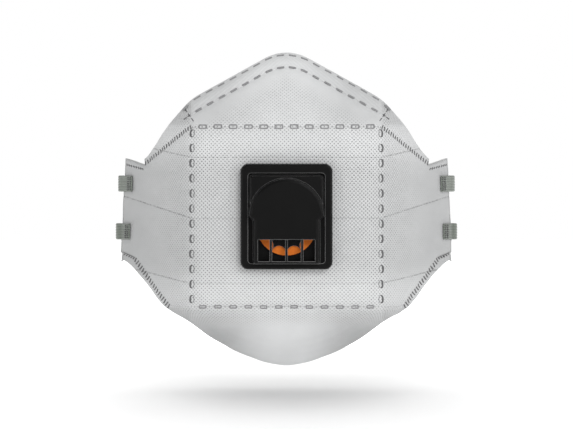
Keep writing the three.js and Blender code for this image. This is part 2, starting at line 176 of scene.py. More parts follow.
# ---- Node graphs ----
class Graph:
    """A small helper that writes a material's nodes as sums."""

    def __init__(self, name):
        self.material = bpy.data.materials.new(name)
        self.material.use_nodes = True
        self.tree = self.material.node_tree
        self.shader = self.tree.nodes["Principled BSDF"]

    def link(self, value, socket):
        if isinstance(value, bpy.types.NodeSocket):
            self.tree.links.new(value, socket)
        else:
            socket.default_value = value

    def node(self, kind, output=0, inputs=None, **settings):
        node = self.tree.nodes.new(kind)
        for key, value in settings.items():
            setattr(node, key, value)
        for key, value in (inputs or {}).items():
            self.link(value, node.inputs[key])
        return node.outputs[output]

    def math(self, operation, a, b=0.0, c=0.0):
        return self.node("ShaderNodeMath", 0, {0: a, 1: b, 2: c}, operation=operation)

    def add(self, a, b):
        return self.math("ADD", a, b)

    def sub(self, a, b):
        return self.math("SUBTRACT", a, b)

    def mul(self, a, b):
        return self.math("MULTIPLY", a, b)

    def ramp(self, value, low, high):
        """0 at low and 1 at high, eased."""
        return self.node(
            "ShaderNodeMapRange", 0, {"Value": value, "From Min": low, "From Max": high},
            interpolation_type="SMOOTHSTEP")

    def less(self, value, low, high):
        """1 below low and 0 above high, eased."""
        return self.sub(1.0, self.ramp(value, low, high))

    def attribute(self, name):
        vector = self.node("ShaderNodeAttribute", "Vector", attribute_name=name)
        split = self.tree.nodes.new("ShaderNodeSeparateXYZ")
        self.link(vector, split.inputs[0])
        return vector, split.outputs[0], split.outputs[1], split.outputs[2]

    def noise(self, vector, scale, detail=3.0, roughness=0.55):
        inputs = {"Vector": vector, "Scale": scale, "Detail": detail, "Roughness": roughness}
        return self.node("ShaderNodeTexNoise", "Fac", inputs)

    def place(self):
        return self.node("ShaderNodeTexCoord", "Object")

    def mix(self, factor, a, b):
        node = self.tree.nodes.new("ShaderNodeMix")
        node.data_type = "RGBA"
        self.link(factor, node.inputs["Factor"])
        self.link(a, node.inputs["A"])
        self.link(b, node.inputs["B"])
        return node.outputs["Result"]

    def bump(self, height, strength, distance_mm):
        inputs = {"Height": height, "Strength": strength, "Distance": distance_mm * MM}
        return self.node("ShaderNodeBump", 0, inputs)

    def finish(self, color, roughness, normal=None, **uniform):
        self.link(color, self.shader.inputs["Base Color"])
        self.link(roughness, self.shader.inputs["Roughness"])
        if normal is not None:
            self.link(normal, self.shader.inputs["Normal"])
        for key, value in uniform.items():
            self.shader.inputs[key.replace("_", " ")].default_value = value
        return self.material


def grey(value, tint=(1.0, 1.0, 1.0)):
    return (value * tint[0], value * tint[1], value * tint[2], 1.0)


# ---- Materials ----
def lattice_dots(g, u, v, pitch, inner, outer):
    """1 on small dots in a diamond lattice, pitch millimetres apart across."""
    across = g.mul(g.add(u, v), 1 / pitch)
    along = g.mul(g.sub(u, v), 1 / pitch)
    parts = [g.sub(g.math("FRACT", w), 0.5) for w in (across, along)]
    squares = [g.math("POWER", g.math("ABSOLUTE", w), 2.0) for w in parts]
    distance = g.math("SQRT", g.add(*squares))
    return g.less(distance, inner, outer)


def stripes(g, u, v, angle, pitch):
    """A wave from 0 to 1 across fine diagonal lines."""
    across = g.add(g.mul(u, math.cos(angle)), g.mul(v, math.sin(angle)))
    return g.add(g.mul(g.math("SINE", g.mul(across, 2 * math.pi / pitch)), 0.5), 0.5)


def crease(g, x_away, z, height, rise):
    """1 on a thin pressed line that climbs on the wings."""
    climb = g.mul(g.math("MAXIMUM", g.sub(x_away, WELD_COLUMN_X), 0.0), rise)
    off = g.math("ABSOLUTE", g.sub(z, g.add(climb, height)))
    return g.less(off, 0.12, 0.42)


def cover_fabric(name, is_pocket=False):
    """Embossed spunbond: dots on the centre that fade over the wings, smooth at the edges."""
    g = Graph(name)
    _, u, v, edge = g.attribute("cloth")
    place, x, z, _ = g.attribute("place")
    x_away = g.math("ABSOLUTE", x)
    z_away = g.math("ABSOLUTE", z)
    blotches = g.noise(place, 0.12, 4.0)
    patches = g.noise(place, 0.5, 3.0)
    fibres = g.noise(place, 2.6, 5.0, 0.7)
    # Dots: full in the centre panel, fainter on the nose and chin, fading outwards on the wings.
    inside = g.less(x_away, 41.0, 43.0)
    outside = g.sub(1.0, inside)
    centre = g.less(z_away, 39.0, 41.0)
    is_nose = g.ramp(z, 39.0, 41.0)
    nose = g.mul(is_nose, g.mul(g.less(g.add(z, g.mul(x_away, 0.62)), 57.0, 66.0), 0.65))
    chin = g.mul(g.ramp(g.mul(z, -1.0), 39.0, 41.0), g.mul(g.less(z_away, 43.0, 49.0), 0.75))
    wing = g.mul(g.less(x_away, 45.0, 66.0), 0.6)
    presence = g.add(g.mul(inside, g.add(centre, g.add(nose, chin))), g.mul(outside, wing))
    dots = g.mul(lattice_dots(g, u, v, 1.73, 0.1, 0.34), g.mul(presence, 0.0 if is_pocket else 1.0))
    dots = g.mul(dots, g.add(0.5, g.mul(patches, 1.0)))
    # Fine diagonal hatching of the wings and of the nose clip's pocket.
    lean = g.mul(g.math("SIGN", x), u)
    hatch = stripes(g, lean, v, math.radians(52), 0.95)
    if is_pocket:
        hatch = g.mul(hatch, 0.7)
    else:
        hatch = g.mul(g.mul(hatch, outside), g.less(x_away, 44.0, 58.0))
    # Pressed lines across the band, darkened in the colour below as painted shade in the creases.
    lines = [crease(g, x_away, z, *values) for values in CREASES]
    line = g.math("MAXIMUM", g.math("MAXIMUM", lines[0], lines[1]), lines[2])
    broken = g.ramp(g.noise(place, 1.1, 1.0), 0.4, 0.6)
    line = g.mul(line, g.add(0.3, g.mul(broken, 0.7)))
    line = g.mul(line, g.add(0.55, g.mul(outside, 0.45)))
    # Colour.
    tone = g.add(0.93, g.mul(blotches, 0.14))
    tone = g.sub(tone, g.mul(dots, 0.56))
    tone = g.sub(tone, g.mul(hatch, 0.09))
    # Painted shade: the colour darkens along the pressed lines.
    tone = g.sub(tone, g.mul(line, 0.3))
    tone = g.sub(tone, g.mul(fibres, 0.12))
    # Painted shade: the wings darker than the centre panel, and darker still towards the tabs, as
    # faces turned away from the light.
    tone = g.sub(tone, g.mul(outside, 0.05))
    tone = g.sub(tone, g.mul(g.ramp(x_away, 43.0, 68.0), 0.17))
    # Painted light: lighter towards the top and bottom of the band and over the nose and chin panels.
    tone = g.add(tone, g.mul(g.ramp(z_away, 18.0, 34.0), 0.17))
    # Painted shade: the nose and chin panels darker towards their sides.
    beyond_folds = g.ramp(z_away, 38.5, 41.5)
    tone = g.sub(tone, g.mul(g.mul(beyond_folds, g.ramp(x_away, 6.0, 32.0)), 0.17))
    # Painted light and shade on the chin: lighter in its middle, darker towards its sides.
    on_chin = g.ramp(g.mul(z, -1.0), 40.0, 54.0)
    tone = g.add(tone, g.mul(on_chin, g.sub(0.17, g.mul(g.ramp(x_away, 4.0, 34.0), 0.46))))
    # Painted shade: a thin darker line along the cloth's edges.
    tone = g.sub(tone, g.mul(g.less(edge, 0.3, 1.4), 0.16))
    color = g.mix(g.mul(tone, 0.72), grey(0.0), grey(0.79 if is_pocket else 0.81, (0.985, 0.995, 1.0)))
    height = g.sub(g.mul(fibres, 0.3), dots)
    height = g.sub(height, g.mul(hatch, 0.35))
    height = g.sub(height, g.mul(line, 0.8))
    roughness = g.add(0.78, g.mul(fibres, 0.18))
    return g.finish(color, roughness, g.bump(height, 0.7, 0.25), Sheen_Weight=0.15,
                    Sheen_Roughness=0.5, Specular_IOR_Level=0.25)


def plain_nonwoven(name, brightness, tint, pitch):
    """Unprinted nonwoven with point bonds and loose fibres."""
    g = Graph(name)
    _, u, v, _ = g.attribute("cloth")
    place, _, _, _ = g.attribute("place")
    fibres = g.noise(place, 2.2, 5.0, 0.7)
    blotches = g.noise(place, 0.1, 3.0)
    bonds = lattice_dots(g, u, v, pitch, 0.12, 0.3)
    tone = g.add(0.86, g.mul(blotches, 0.16))
    tone = g.sub(tone, g.mul(bonds, 0.14))
    tone = g.sub(tone, g.mul(fibres, 0.08))
    color = g.mix(tone, grey(0.0), grey(brightness, tint))
    height = g.sub(g.mul(fibres, 0.4), g.mul(bonds, 0.8))
    roughness = g.add(0.8, g.mul(fibres, 0.15))
    return g.finish(color, roughness, g.bump(height, 0.6, 0.2), Sheen_Weight=0.15,
                    Specular_IOR_Level=0.25)


def weld_material(name, low, high):
    """Fabric melted by the welding tool: darker, denser and a little shiny."""
    g = Graph(name)
    grain = g.noise(g.place(), 900.0, 3.0)
    color = g.mix(grain, grey(low, (1.0, 1.0, 1.02)), grey(high, (1.0, 1.0, 1.02)))
    roughness = g.add(0.42, g.mul(grain, 0.25))
    return g.finish(color, roughness, g.bump(grain, 0.4, 0.08))


def elastic_material():
    """Grey-green knitted elastic with lengthwise ribs and cross threads."""
    g = Graph("elastic")
    _, u, v, _ = g.attribute("cloth")
    ribs = stripes(g, u, v, 0.0, STRAP_WIDTH / 6)
    threads = stripes(g, u, v, math.pi / 2, 0.62)
    place = g.place()
    fibres = g.noise(place, 1600.0, 4.0, 0.65)
    blotches = g.noise(place, 120.0, 2.0)
    tone = g.add(0.5, g.mul(ribs, 0.22))
    tone = g.add(tone, g.mul(threads, 0.14))
    tone = g.add(tone, g.mul(fibres, 0.16))
    tone = g.add(tone, g.mul(blotches, 0.1))
    color = g.mix(tone, grey(0.03), (0.2, 0.222, 0.194, 1.0))
    height = g.add(g.mul(ribs, 0.6), g.add(g.mul(threads, 0.5), g.mul(fibres, 0.4)))
    roughness = g.add(0.72, g.mul(fibres, 0.2))
    return g.finish(color, roughness, g.bump(height, 0.8, 0.15), Sheen_Weight=0.25)


def moulded_plastic(name, color_low, color_high, edge_highlight_color):
    """Black injection-moulded plastic, finely textured, with a painted highlight on its edges."""
    g = Graph(name)
    place = g.place()
    grain = g.noise(place, 4000.0, 3.0, 0.6)
    flow = g.noise(place, 60.0, 2.0)
    # Painted highlight: a lighter colour on every edge, where the bevel-rounded normal turns from the
    # flat face.
    rounded = g.node("ShaderNodeBevel", 0, {"Radius": 0.6 * MM}, samples=8)
    flat = g.node("ShaderNodeNewGeometry", "True Normal")
    agree = g.node("ShaderNodeVectorMath", "Value", {0: rounded, 1: flat}, operation="DOT_PRODUCT")
    edges = g.mul(g.less(agree, 0.82, 0.97), g.add(0.35, g.mul(flow, 0.9)))
    color = g.mix(edges, g.mix(flow, color_low, color_high), edge_highlight_color)
    roughness = g.add(0.3, g.add(g.mul(flow, 0.1), g.mul(grain, 0.06)))
    return g.finish(color, roughness, g.bump(grain, 0.25, 0.05), Specular_IOR_Level=0.11)


def silicone():
    """Orange silicone, satin, with a little depth to it."""
    g = Graph("flap_silicone")
    place = g.place()
    cloud = g.noise(place, 150.0, 2.0)
    dust = g.noise(place, 2500.0, 2.0)
    color = g.mix(cloud, (0.68, 0.13, 0.002, 1.0), (0.82, 0.21, 0.004, 1.0))
    roughness = g.add(0.42, g.mul(dust, 0.2))
    return g.finish(color, roughness, g.bump(dust, 0.3, 0.06), Specular_IOR_Level=0.3)


def brushed_aluminium():
    g = Graph("clip_metal")
    brushed = g.node("ShaderNodeMapping", 0, {"Vector": g.place(), "Scale": (60.0, 900.0, 900.0)})
    streaks = g.noise(brushed, 3.0, 3.0)
    color = g.mix(streaks, grey(0.55), grey(0.75))
    return g.finish(color, g.add(0.3, g.mul(streaks, 0.2)), g.bump(streaks, 0.2, 0.05), Metallic=1.0)


def foam_material():
    """Open-cell foam: pores of two sizes, painted darker as shade in their hollows."""
    g = Graph("nose_foam")
    place = g.place()
    pores = g.node("ShaderNodeTexVoronoi", "Distance", {"Vector": place, "Scale": 1500.0})
    small = g.node("ShaderNodeTexVoronoi", "Distance", {"Vector": place, "Scale": 3600.0})
    # Painted shade: the deeper into a pore, the darker the colour.
    depth = g.add(g.mul(g.ramp(pores, 0.1, 0.6), 0.7), g.mul(small, 0.3))
    color = g.mix(depth, grey(0.11), grey(0.035))
    return g.finish(color, 0.95, g.bump(g.sub(1.0, depth), 0.8, 0.3))


COVER_LOOK = cover_fabric("cover_fabric")
POCKET_LOOK = cover_fabric("pocket_fabric", is_pocket=True)
FILTER_LOOK = plain_nonwoven("filter_fabric", 0.82, (1.0, 1.0, 0.98), 3.1)
LINER_LOOK = plain_nonwoven("liner_fabric", 0.8, (0.99, 1.0, 1.0), 1.5)
WELD_LOOK = weld_material("weld_mark", 0.15, 0.32)
DARK_WELD_LOOK = weld_material("dark_weld_mark", 0.05, 0.15)
ELASTIC_LOOK = elastic_material()
# Its last colour is the painted highlight on the edges.
VALVE_LOOK = moulded_plastic("valve_plastic", grey(0.0012), grey(0.003), grey(0.2))
FLAP_LOOK = silicone()
CLIP_LOOK = brushed_aluminium()
FOAM_LOOK = foam_material()


# ---- The shell's surface ----
def soft_ramp(t):
    return FOLD_SOFTNESS * np.logaddexp(0.0, t / FOLD_SOFTNESS)


def beyond(value, limit):
    return np.maximum(0.0, np.abs(value) - limit)


def shell_y(x, z):
    """Depth of the outer face over the front view."""
    across = WING_BOW * beyond(x, FLAT_HALF_X) ** 2 + WING_SLOPE * soft_ramp(np.abs(x) - WING_TURN_X)
    nose = soft_ramp(z - FOLD_Z)
    along = (PANEL_BOW * beyond(z, FLAT_HALF_Z) ** 2 + NOSE_SLOPE * nose
             + CHIN_SLOPE * soft_ramp(-z - FOLD_Z))
    ridge = RIDGE_SLOPE * nose / NOSE_HEIGHT * (np.hypot(x, RIDGE_RADIUS) - RIDGE_RADIUS)
    return FRONT_Y + across + along + ridge


def inward(x, z):
    """Unit normal of the outer face, pointing into the mask."""
    step = 0.5
    slope_x = (shell_y(x + step, z) - shell_y(x - step, z)) / (2 * step)
    slope_z = (shell_y(x, z + step) - shell_y(x, z - step)) / (2 * step)
    return unit(np.stack([-slope_x, np.ones_like(slope_x), -slope_z], axis=-1))


def outline_at(outline, x, rounding):
    """Value of an outline at a distance from the middle, with its corners rounded."""
    away, values = zip(*outline)
    shifts = np.linspace(-rounding, rounding, 9)
    return np.mean([np.interp(np.abs(np.abs(x) + s), away, values) for s in shifts], axis=0)


def to_segment(x, z, segment):
    """Distance in the front view to a straight line between two points, and to its mirror."""
    (x0, z0), (x1, z1) = segment
    along = np.array([x1 - x0, z1 - z0])
    px, pz = np.abs(x) - x0, z - z0
    share = np.clip((px * along[0] + pz * along[1]) / (along @ along), 0, 1)
    return np.hypot(px - share * along[0], pz - share * along[1])


def relief(x, z):
    """How far the outer face is sunk below the shell: weld valleys and soft unevenness."""
    def valley(distance, spread=WELD_SPREAD):
        return np.exp(-((distance / spread) ** 2))

    pucker_z = 0.75 + 0.25 * np.cos(2 * math.pi * z / WELD_PITCH)
    pucker_x = 0.75 + 0.25 * np.cos(2 * math.pi * (x + WELD_PITCH / 2) / WELD_PITCH)
    columns = valley(np.abs(x) - WELD_COLUMN_X) * (1 - smoothstep(np.abs(z), 37, 40)) * pucker_z
    rows = valley(np.abs(z) - FOLD_Z) * (1 - smoothstep(np.abs(x), 41, 44)) * pucker_x
    top = outline_at(NOSE_TOP, x, 3.0)
    nose_row = valley((top - POCKET_DROP - z) * 0.87) * (1 - smoothstep(np.abs(x), 40, 43))
    upper = to_segment(x, z, UPPER_FLANK)
    lower = np.minimum(to_segment(x, z, LOWER_FLANK), to_segment(x, z, LOWER_HEM))
    seams = (valley(upper, 1.7) + valley(lower, 1.7)) * (1 - smoothstep(np.abs(x), 67, 71))
    folds = 0.16 * np.sin(x * 1.05 + z * 0.35) * (np.exp(-upper / 5) + np.exp(-lower / 5))
    waves = (0.14 * np.sin(0.13 * x + 0.21 * z + 0.8) * np.sin(0.17 * z - 0.09 * x)
             + 0.08 * np.sin(0.37 * x - 0.29 * z + 2.1))
    flat = 1 - smoothstep(np.hypot(x, z), 26, 36)
    creases = sum(valley(z - height - rise * beyond(x, WELD_COLUMN_X), 0.6)
                  for height, rise in CREASES)
    above_chin = z - outline_at(CHIN_BOTTOM, x, 3.0)
    creases += 0.8 * sum(valley(above_chin - up, 0.8) for up in (3.2, 6.0, 9.5)) * (np.abs(x) < 34)
    return (WELD_DEPTH * (columns + rows + nose_row + 1.2 * seams) + folds + 0.12 * creases
            + waves * (1 - flat))


def outer_point(x, z, lift=0.0):
    """A point on the outer face, lifted out of it by a few tenths."""
    x, z = np.asarray(x, float), np.asarray(z, float)
    base = np.stack([x, shell_y(x, z), z], axis=-1)
    return base + inward(x, z) * (relief(x, z) - lift)[..., None]


def tab_edge_x(z):
    return TAB_EDGE_X - TAB_EDGE_LEAN * z


def tab_x(station, z):
    """The side edges of the tabs spread downwards."""
    lean = TAB_EDGE_LEAN * smoothstep(np.abs(station), TAB_LEAN_START, TAB_EDGE_X)
    return station - lean * z * np.sign(station)


class Surface:
    """A grid of points on the shell for one panel, with what its layers and material need."""

    def __init__(self, points, x, z, normals, sunk, edge):
        self.points = points
        self.x = x
        self.z = z
        self.normals = normals
        self.sunk = sunk
        self.edge = edge
        step_u = np.linalg.norm(np.diff(points, axis=0), axis=2)
        step_v = np.linalg.norm(np.diff(points, axis=1), axis=2)
        self.u = np.vstack([np.zeros((1, points.shape[1])), np.cumsum(step_u, axis=0)])
        self.u -= self.u[points.shape[0] // 2]
        v = np.hstack([np.zeros((points.shape[0], 1)), np.cumsum(step_v, axis=1)])
        middle = np.argmin(np.abs(z - np.clip(0, z.min(), z.max())), axis=1)
        fold = np.take_along_axis(v, middle[:, None], axis=1)
        self.v = v - fold + np.take_along_axis(z, middle[:, None], axis=1)
        self.area = float((step_u[:, :-1] * step_v[:-1]).sum())


def grid_normals(points):
    """Inward normals from the grid itself."""
    across = np.gradient(points, axis=0)
    up = np.gradient(points, axis=1)
    return unit(-np.cross(across, up))


def band_surface(columns=208, rows=104):
    """The centre panel with its wings and tabs."""
    station = np.linspace(-TAB_EDGE_X, TAB_EDGE_X, columns + 1)[:, None]
    share = np.linspace(0, 1, rows + 1)[None, :]
    bottom = outline_at(BAND_BOTTOM, station, 0.8)
    top = outline_at(BAND_TOP, station, 0.8)
    z = bottom + (top - bottom) * share
    x = tab_x(station, z)
    points = np.stack([x + 0 * z, shell_y(x, z), z], axis=-1)
    side = (TAB_EDGE_X - np.abs(station)) * 1.95 + 0 * z
    hem_top = np.where(np.abs(station) > 61, (top - z), 99.0)
    hem_bottom = np.where(np.abs(station) > 66, (z - bottom), 99.0)
    edge = np.minimum(side, np.minimum(hem_top, hem_bottom))
    return Surface(points, x + 0 * z, z, inward(x, z), relief(x, z), edge)


def skirted_surface(outline, seam, rim, columns=190, rows=56, skirt_rows=26):
    """The nose or chin panel: the front part, then the skirt that runs back to the rim."""
    half_width = outline[-1][0]
    side = math.copysign(1.0, outline[0][1])
    station = np.linspace(-half_width, half_width, columns + 1)[:, None]
    tuck = TUCK * (1 - smoothstep(np.abs(station), 64, 69))
    start = outline_at(seam, station, 0.8) - side * tuck
    end = outline_at(outline, station, 3.0)
    share = np.linspace(0, 1, rows + 1)[None, :]
    z_front = start + (end - start) * share
    x_front = tab_x(station, z_front)
    x_end = tab_x(station, end)
    front = np.stack([x_front, shell_y(x_front, z_front), z_front], axis=-1)
    depth = outline_at(rim, station, 4.0) - shell_y(x_end, end)
    fullness = np.clip(depth / SKIRT_FULL, 0, 1)
    back = np.linspace(0, 1, skirt_rows + 1)[None, 1:]
    draw_in = 1 - SKIRT_CURL * fullness * back ** 2
    skirt = np.stack([x_end * draw_in, shell_y(x_end, end) + depth * back, end * draw_in], axis=-1)
    points = np.concatenate([front, skirt], axis=1)
    row = np.arange(points.shape[1])
    weight = np.exp(-(((row - rows) / 4.0) ** 2))[None, 1:-1, None]
    for _ in range(10):
        middle = (points[:, :-2] + points[:, 2:]) / 2
        points[:, 1:-1] += (middle - points[:, 1:-1]) * 0.5 * weight
    z_skirt = end + side * SKIRT_STEP * np.arange(1, skirt_rows + 1)
    z = np.concatenate([z_front, z_skirt], axis=1)
    x = station + 0 * z
    steps = np.linalg.norm(np.diff(points, axis=1), axis=2)
    to_rim = np.concatenate([np.cumsum(steps[:, ::-1], axis=1)[:, ::-1], np.zeros((columns + 1, 1))],
                            axis=1)
    side_edge = (half_width - np.abs(station)) * 1.4 + 0 * z
    sunk = relief(x, np.where(row[None, :] <= rows, z, end))
    sunk = sunk * (1 - smoothstep(row, rows - 2, rows + 6))[None, :]
    tucked = smoothstep(TUCK - side * (z - start), 0, TUCK) * 0.75 * tuck / TUCK
    if side < 0:
        points, x, z, to_rim, side_edge, sunk, tucked = (
            np.ascontiguousarray(a[:, ::-1]) for a in (points, x, z, to_rim, side_edge, sunk, tucked))
    return Surface(points, x, z, grid_normals(points), sunk + tucked, np.minimum(to_rim, side_edge))


def layer_piece(name, surface, depths, material, hole=None):
    """One closed fabric layer between two depths under the shell."""
    columns, rows = surface.x.shape
    squeeze = EDGE_SHARE + (1 - EDGE_SHARE) * smoothstep(surface.edge, 0, EDGE_REACH)
    thin = 1 - 0.25 * np.clip(surface.sunk / WELD_DEPTH, 0, 1)
    normals = surface.normals
    base = surface.points + normals * surface.sunk[..., None]
    outer = base + normals * (depths[0] * squeeze * thin)[..., None]
    inner = base + normals * (depths[1] * squeeze * thin)[..., None]
    kept = np.ones((columns - 1, rows - 1), bool)
    if hole is not None:
        radius, centre_z = hole
        away = np.hypot(surface.x, surface.z - centre_z)
        corners = np.stack([away[:-1, :-1], away[1:, :-1], away[:-1, 1:], away[1:, 1:]])
        kept = corners.min(axis=0) > radius - 0.35
        rim = (away > radius - 0.35) & (away < radius + 0.9)
        pull = np.where(rim, radius / away, 1.0)
        for side in (outer, inner):
            side[..., 0] *= pull
            side[..., 2] = np.where(rim, centre_z + (side[..., 2] - centre_z) * pull, side[..., 2])
    number = np.arange(columns * rows).reshape(columns, rows)
    i, j = np.nonzero(kept)
    a, b, c, d = number[i, j], number[i + 1, j], number[i + 1, j + 1], number[i, j + 1]
    faces = np.concatenate([np.stack([a, b, c, d], 1),
                            np.stack([d, c, b, a], 1) + columns * rows])
    edges = np.concatenate([np.stack(e, 1) for e in ((a, b), (b, c), (c, d), (d, a))])
    both = {tuple(e) for e in edges.tolist()}
    border = [e for e in both if (e[1], e[0]) not in both]
    walls = [(p, p + columns * rows, q + columns * rows, q) for p, q in sorted(border)]
    points = np.concatenate([outer.reshape(-1, 3), inner.reshape(-1, 3)])
    faces = faces.tolist() + walls
    used = np.unique(np.array(faces).ravel())
    renumber = np.full(len(points), -1)
    renumber[used] = np.arange(len(used))
    piece = new_piece(name, points[used], renumber[np.array(faces)], material)
    cloth = np.stack([surface.u, surface.v, surface.edge], axis=-1).reshape(-1, 3)
    place = np.stack([surface.x, surface.z, 0 * surface.x], axis=-1).reshape(-1, 3)
    add_attribute(piece, "cloth", np.tile(cloth, (2, 1))[used])
    add_attribute(piece, "place", np.tile(place, (2, 1))[used])
    return piece


# ---- Placing pieces: on the root body, or fixed where they stand ----
def ride_root(piece):
    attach(piece, "root")


def follow_nose(piece):
    """The nose panel is held by the band along the fold and the flank seams, free at the nose edge;
    here the piece's placement is only baked into its points.
    """
    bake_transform(piece)


def follow_chin(piece):
    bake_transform(piece)


# ---- Fabric panels ----
def make_panels():
    surfaces = {
        "centre_band": (band_surface(), ride_root, (HOLE_RADIUS, PORT_Z), (0.206, 0.0804)),
        "nose_panel": (skirted_surface(NOSE_TOP, BAND_TOP, NOSE_RIM), follow_nose, None,
                       (0.171, 0.043)),
        "chin_panel": (skirted_surface(CHIN_BOTTOM, BAND_BOTTOM, CHIN_RIM), follow_chin, None,
                       (0.214, 0.05)),
    }
    layers = (("cover", COVER, COVER_LOOK, "outer_fabric"),
              ("filter", FILTER, FILTER_LOOK, "filter_fabric"),
              ("liner", LINER, LINER_LOOK, "liner_fabric"))
    for panel, (surface, follow, hole, flat) in surfaces.items():
        for layer, depths, look, slot in layers:
            piece = layer_piece(f"{panel}_{layer}_cloth", surface, depths, look, hole)
            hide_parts(f"{panel}_{layer}")
            follow(piece)


make_panels()


# ---- Weld marks ----
class Marks:
    """Small weld marks collected into one mesh, laid on the outer face."""

    def __init__(self):
        self.points = []
        self.faces = []

    def add_loops(self, loops, ring):
        """Loops of points from the outside in. A ring closes on itself, a pad is capped."""
        start = sum(len(p) for p in self.points)
        count = len(loops[0])
        self.points += loops
        total = len(loops)
        for k in range(total if ring else total - 1):
            for i in range(count):
                a, b = start + k * count, start + ((k + 1) % total) * count
                j = (i + 1) % count
                self.faces.append((a + i, a + j, b + j, b + i))
        if not ring:
            self.faces.append(tuple(start + i for i in reversed(range(count))))
            self.faces.append(tuple(start + (total - 1) * count + i for i in range(count)))

    def place(self, centre, angle, size, profile, power, shift=0.0):
        """Loops round a centre. profile lists the lift and inset of each; inner ones may shift."""
        turn = np.linspace(0, 2 * math.pi, 20, endpoint=False)
        shape_a = np.sign(np.cos(turn)) * np.abs(np.cos(turn)) ** power
        shape_b = np.sign(np.sin(turn)) * np.abs(np.sin(turn)) ** power
        loops = []
        for k, (lift, inset) in enumerate(profile):
            a = shape_a * (size[0] / 2 - inset)
            b = shape_b * (size[1] / 2 - inset)
            x = centre[0] + a * math.cos(angle) - b * math.sin(angle) + (shift if k > 1 else 0.0)
            z = centre[1] + a * math.sin(angle) + b * math.cos(angle)
            loops.append(outer_point(x, z, lift))
        return loops

    def ring(self, centre, angle, size, stroke, power=0.35, shift=0.0):
        """An outline pressed by the tool, thicker on one side where its inside is shifted; that
        thicker dark side is painted shade.
        """
        profile = ((-0.25, 0.0), (0.12, 0.08), (0.12, stroke), (-0.25, stroke + 0.1))
        self.add_loops(self.place(centre, angle, size, profile, power, shift), ring=True)

    def pad(self, centre, angle, size, power=0.35, lift=0.12):
        profile = ((lift - 0.4, 0.0), (lift - 0.03, 0.06), (lift, min(size) * 0.3))
        self.add_loops(self.place(centre, angle, size, profile, power), ring=False)

    def piece(self, name, material):
        made = new_piece(name, np.concatenate(self.points), self.faces, material)
        return made


def along(segment, count):
    """Middles of equal parts of a straight line."""
    (x0, z0), (x1, z1) = segment
    return [(x0 + (x1 - x0) * (k + 0.5) / count, z0 + (z1 - z0) * (k + 0.5) / count)
            for k in range(count)]


def make_rectangle_welds():
    """The rectangle of marks round the centre panel."""
    rows = Marks()
    columns = Marks()
    for k in range(WELD_COUNT):
        z = COLUMN_TOP_Z - k * COLUMN_PITCH
        for side in (-1, 1):
            # The columns' rings are thicker on their outer side: painted shade as a dark crescent.
            columns.ring((side * WELD_COLUMN_X, z), math.pi / 2, (3.8, 2.1), 0.32, 0.8, -0.42 * side)
        x = (k - (WELD_COUNT - 1) / 2) * WELD_PITCH
        rows.ring((x, FOLD_Z - 0.1), 0.0, (3.9, 2.2), 0.55)
        rows.ring((x, -FOLD_Z + 0.1), 0.0, (3.4, 1.7), 0.5)
    ride_root(rows.piece("rectangle_weld_rows", WELD_LOOK))
    ride_root(columns.piece("rectangle_weld_columns", DARK_WELD_LOOK))


def make_seam_welds():
    """Slanting teeth along the flank seams, and the tabs' hem lines."""
    marks = Marks()
    for segment, lean, count, size, shift in (
            (UPPER_FLANK, 82, 22, (1.9, 0.5), 0.2), (LOWER_FLANK, -62, 19, (2.1, 0.6), -0.5),
            (LOWER_HEM, -55, 5, (1.3, 0.5), -0.5), (UPPER_HEM, 75, 8, (1.2, 0.42), 0.0)):
        for k, (x, z) in enumerate(along(segment, count)):
            for side in (-1, 1):
                angle = math.radians(lean + (7 if k % 2 else -7)) * side
                marks.pad((side * x, z + shift), angle, size)
    for segment, lift in ((UPPER_HEM, 0.06), (LOWER_HEM, 0.06)):
        lean = math.atan2(segment[1][1] - segment[0][1], segment[1][0] - segment[0][0])
        for x, z in along(segment, 3):
            for side in (-1, 1):
                marks.pad((side * x, z), lean * side, (2.2, 0.4), lift=lift)
    ride_root(marks.piece("seam_weld_teeth", DARK_WELD_LOOK))


def make_nose_welds():
    """Two rows of dashes along the nose edge and the cluster at each end of them."""
    marks = Marks()
    for drop, count, reach in ((NOSE_ROW_DROP, 18, 44.0), (POCKET_DROP, 16, 38.5)):
        lift = 0.62 if drop == NOSE_ROW_DROP else 0.42
        for k in range(count):
            x = (k / (count - 1) * 2 - 1) * reach
            rise = outline_at(NOSE_TOP, x + 1.0, 3.0) - outline_at(NOSE_TOP, x - 1.0, 3.0)
            z = float(outline_at(NOSE_TOP, x, 3.0)) - drop
            marks.pad((x, z), math.atan2(float(rise), 2.0), (3.3, 0.75), lift=lift)
    follow_nose(marks.piece("nose_weld_dashes", WELD_LOOK))
    cluster = Marks()
    for stroke in (((39.9, 46.2), (45.0, 42.2)), ((44.6, 47.2), (40.4, 41.4))):
        lean = math.atan2(stroke[1][1] - stroke[0][1], stroke[1][0] - stroke[0][0])
        for x, z in along(stroke, 3):
            for side in (-1, 1):
                cluster.pad((side * x, z), lean * side, (1.7, 0.55))
    follow_nose(cluster.piece("nose_weld_cluster", DARK_WELD_LOOK))


def make_strap_welds():
    """Two columns of weld dots through the inner end of each strap."""
    dots = Marks()
    for top_z in (UPPER_STRAP_Z, LOWER_STRAP_Z):
        for column in (3.7, 2.7):
            for k in range(7):
                z = top_z + (k - 3) * 0.92
                for side in (-1, 1):
                    dots.pad((side * (tab_edge_x(top_z) - column), z), 0.0, (0.55, 0.55), 1.0, 1.6)
    ride_root(dots.piece("strap_weld_dots", DARK_WELD_LOOK))


make_rectangle_welds()
make_seam_welds()
make_nose_welds()
make_strap_welds()


